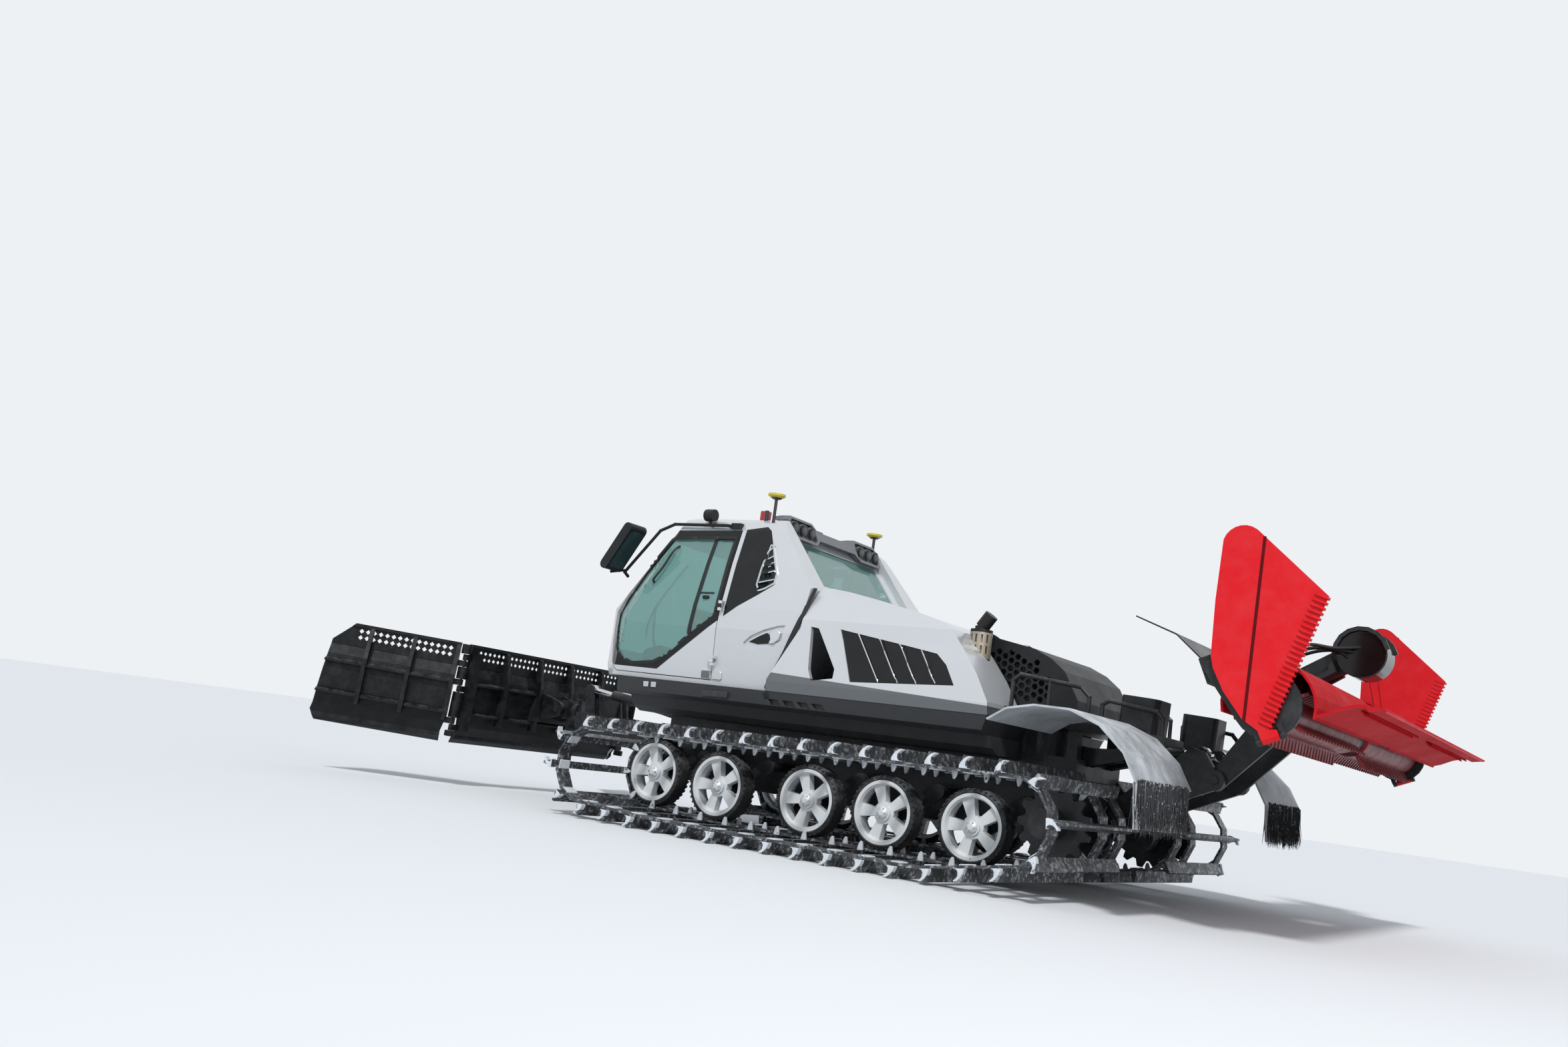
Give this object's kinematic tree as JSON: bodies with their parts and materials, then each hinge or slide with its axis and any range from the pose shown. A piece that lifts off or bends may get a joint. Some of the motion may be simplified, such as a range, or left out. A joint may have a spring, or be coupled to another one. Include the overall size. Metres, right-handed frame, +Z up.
{
  "type": "snow groomer",
  "caption": "Tracked snow groomer with a cab, a folding front blade on a lifting gimbal, and a raised rear tiller with folding side plates.",
  "frame": {"origin": "on the ground under the middle of the machine's overall box", "axes": "+X forward towards the blade, +Y to the driver's left, +Z up"},
  "size_m": [9.9527, 4.5508, 3.096],
  "materials": {
    "frame_black": "satin black paint",
    "cast_engine": "bare casting",
    "sill_plastic": "dark moulded panels",
    "body_silver": "silver paint on moulded panels",
    "gloss_black": "gloss black",
    "bar_grey": "dark grey gloss",
    "seat_cloth": "dark seat cloth",
    "tinted_glass": "green-grey tinted glass",
    "antenna_yellow": "yellow housings",
    "exhaust_steel": "heat-tinted steel",
    "track_alloy": "dark bars on rubber belts",
    "tyre_rubber": "black rubber",
    "rim_alloy": "pale cast rims",
    "flap_rubber": "black rubber",
    "hood_black": "black moulded hood",
    "rod_chrome": "hard chrome",
    "tiller_red": "red paint",
    "rotor_red": "dark red paint, worn"
  },
  "bodies": {
    "machine": {"chassis_tub": "frame_black", "engine_block": "cast_engine", "side_skirts": "sill_plastic", "lower_belt": "sill_plastic", "rear_deck": "frame_black", "deck_rails": "frame_black", "cab_shell": "body_silver", "cab_interior": "seat_cloth", "cab_windows": "tinted_glass", "quarter_panels": "gloss_black", "roof_light_bar": "bar_grey", "roof_antennas": "antenna_yellow", "mirrors": "gloss_black", "body_top": "body_silver", "side_panel_left": "body_silver", "side_panel_right": "body_silver", "side_louvres": "gloss_black", "exhaust_stack": "exhaust_steel", "track_left": "track_alloy", "track_right": "track_alloy", "road_tyres": "tyre_rubber", "wheel_rims": "rim_alloy", "swing_arms": "frame_black", "drive_sprockets": "frame_black", "track_flaps": "flap_rubber"},
    "push_frame": {"push_frame": "frame_black"},
    "blade_yoke": {"swing_yoke": "frame_black"},
    "blade_tilt_block": {"tilt_block": "frame_black"},
    "blade": {"blade_middle": "frame_black"},
    "wing_left": {"wing_left": "frame_black"},
    "wing_right": {"wing_right": "frame_black"},
    "blade_barrels": {"blade_lift_barrels": "frame_black"},
    "blade_rods": {"blade_lift_rods": "rod_chrome"},
    "tiller_arms": {"tiller_arms": "frame_black"},
    "tiller": {"tiller_frame": "frame_black", "tiller_cover": "tiller_red"},
    "tiller_rotor": {"tiller_rotor": "rotor_red"},
    "finisher_left": {"finisher_left": "tiller_red"},
    "finisher_right": {"finisher_right": "tiller_red"},
    "tiller_barrels": {"tiller_lift_barrels": "frame_black"},
    "tiller_rods": {"tiller_lift_rods": "rod_chrome"},
    "door_left": {"door_left": "gloss_black", "door_glass_left": "tinted_glass"},
    "door_right": {"door_right": "gloss_black", "door_glass_right": "tinted_glass"},
    "hood": {"engine_hood": "hood_black"}
  },
  "joints": [
    {"name": "blade_lift", "type": "hinge", "parent": "machine", "child": "push_frame", "pos_m": [1.93988, 0, 0.62], "axis": [0, -1, 0], "range_deg": [-14, 12]},
    {"name": "blade_barrel_swing", "type": "hinge", "parent": "machine", "child": "blade_barrels", "pos_m": [2.03988, 0, 1.02], "axis": [0, -1, 0], "range_deg": [-16, 14]},
    {"name": "blade_rod_slide", "type": "slide", "parent": "blade_barrels", "child": "blade_rods", "axis": [0.9924, 0, 0.1229], "range_m": [-0.082, 0.095]},
    {"name": "blade_swing", "type": "hinge", "parent": "push_frame", "child": "blade_yoke", "pos_m": [3.35988, 0, 0.91], "axis": [0, 0, 1], "range_deg": [-25, 25]},
    {"name": "blade_tilt", "type": "hinge", "parent": "blade_yoke", "child": "blade_tilt_block", "pos_m": [3.60988, 0, 0.91], "axis": [1, 0, 0], "range_deg": [-10, 10]},
    {"name": "blade_pitch", "type": "hinge", "parent": "blade_tilt_block", "child": "blade", "pos_m": [3.60988, 0, 0.91], "axis": [0, 1, 0], "range_deg": [-8, 8]},
    {"name": "wing_left_fold", "type": "hinge", "parent": "blade", "child": "wing_left", "pos_m": [3.93991, 1.3, 0.45395], "axis": [0.0523, 0, -0.9986], "range_deg": [-68, 17]},
    {"name": "wing_right_fold", "type": "hinge", "parent": "blade", "child": "wing_right", "pos_m": [3.93991, -1.3, 0.45395], "axis": [-0.0523, 0, 0.9986], "range_deg": [-68, 17]},
    {"name": "tiller_lift", "type": "hinge", "parent": "machine", "child": "tiller_arms", "pos_m": [-2.56012, 0, 0.62], "axis": [0, 1, 0], "range_deg": [-35, 5]},
    {"name": "tiller_barrel_swing", "type": "hinge", "parent": "machine", "child": "tiller_barrels", "pos_m": [-2.61012, 0, 1.12], "axis": [0, 1, 0], "range_deg": [-35.5, 5.5]},
    {"name": "tiller_rod_slide", "type": "slide", "parent": "tiller_barrels", "child": "tiller_rods", "axis": [-0.989, 0, 0.1476], "range_m": [-0.045, 0.305]},
    {"name": "tiller_pitch", "type": "hinge", "parent": "tiller_arms", "child": "tiller", "pos_m": [-3.41012, 0, 1.02], "axis": [0, 1, 0], "range_deg": [-15, 12]},
    {"name": "rotor_spin", "type": "hinge", "parent": "tiller", "child": "tiller_rotor", "pos_m": [-4.24341, 0, 1.48405], "axis": [0, 1, 0], "continuous": true},
    {"name": "finisher_left_fold", "type": "hinge", "parent": "tiller", "child": "finisher_left", "pos_m": [-4.28522, 2.2, 1.2673], "axis": [-0.9135, 0, 0.4067], "range_deg": [0, 90]},
    {"name": "finisher_right_fold", "type": "hinge", "parent": "tiller", "child": "finisher_right", "pos_m": [-4.28522, -2.2, 1.2673], "axis": [0.9135, 0, -0.4067], "range_deg": [0, 90]},
    {"name": "door_left_swing", "type": "hinge", "parent": "machine", "child": "door_left", "pos_m": [0.88988, 1.172, 1.75], "axis": [0, 0, 1], "range_deg": [0, 75]},
    {"name": "door_right_swing", "type": "hinge", "parent": "machine", "child": "door_right", "pos_m": [0.88988, -1.172, 1.75], "axis": [0, 0, -1], "range_deg": [0, 75]},
    {"name": "hood_lift", "type": "hinge", "parent": "machine", "child": "hood", "pos_m": [-1.43212, 0, 2.006], "axis": [0, 1, 0], "range_deg": [0, 60]}
  ],
  "couplings": [
    {"joint": "blade_barrel_swing", "follows": "blade_lift", "ratio": 1.1302},
    {"joint": "blade_rod_slide", "follows": "blade_lift", "m_per_rad": -0.3814},
    {"joint": "tiller_barrel_swing", "follows": "tiller_lift", "ratio": 0.9974},
    {"joint": "tiller_rod_slide", "follows": "tiller_lift", "m_per_rad": -0.4951}
  ]
}
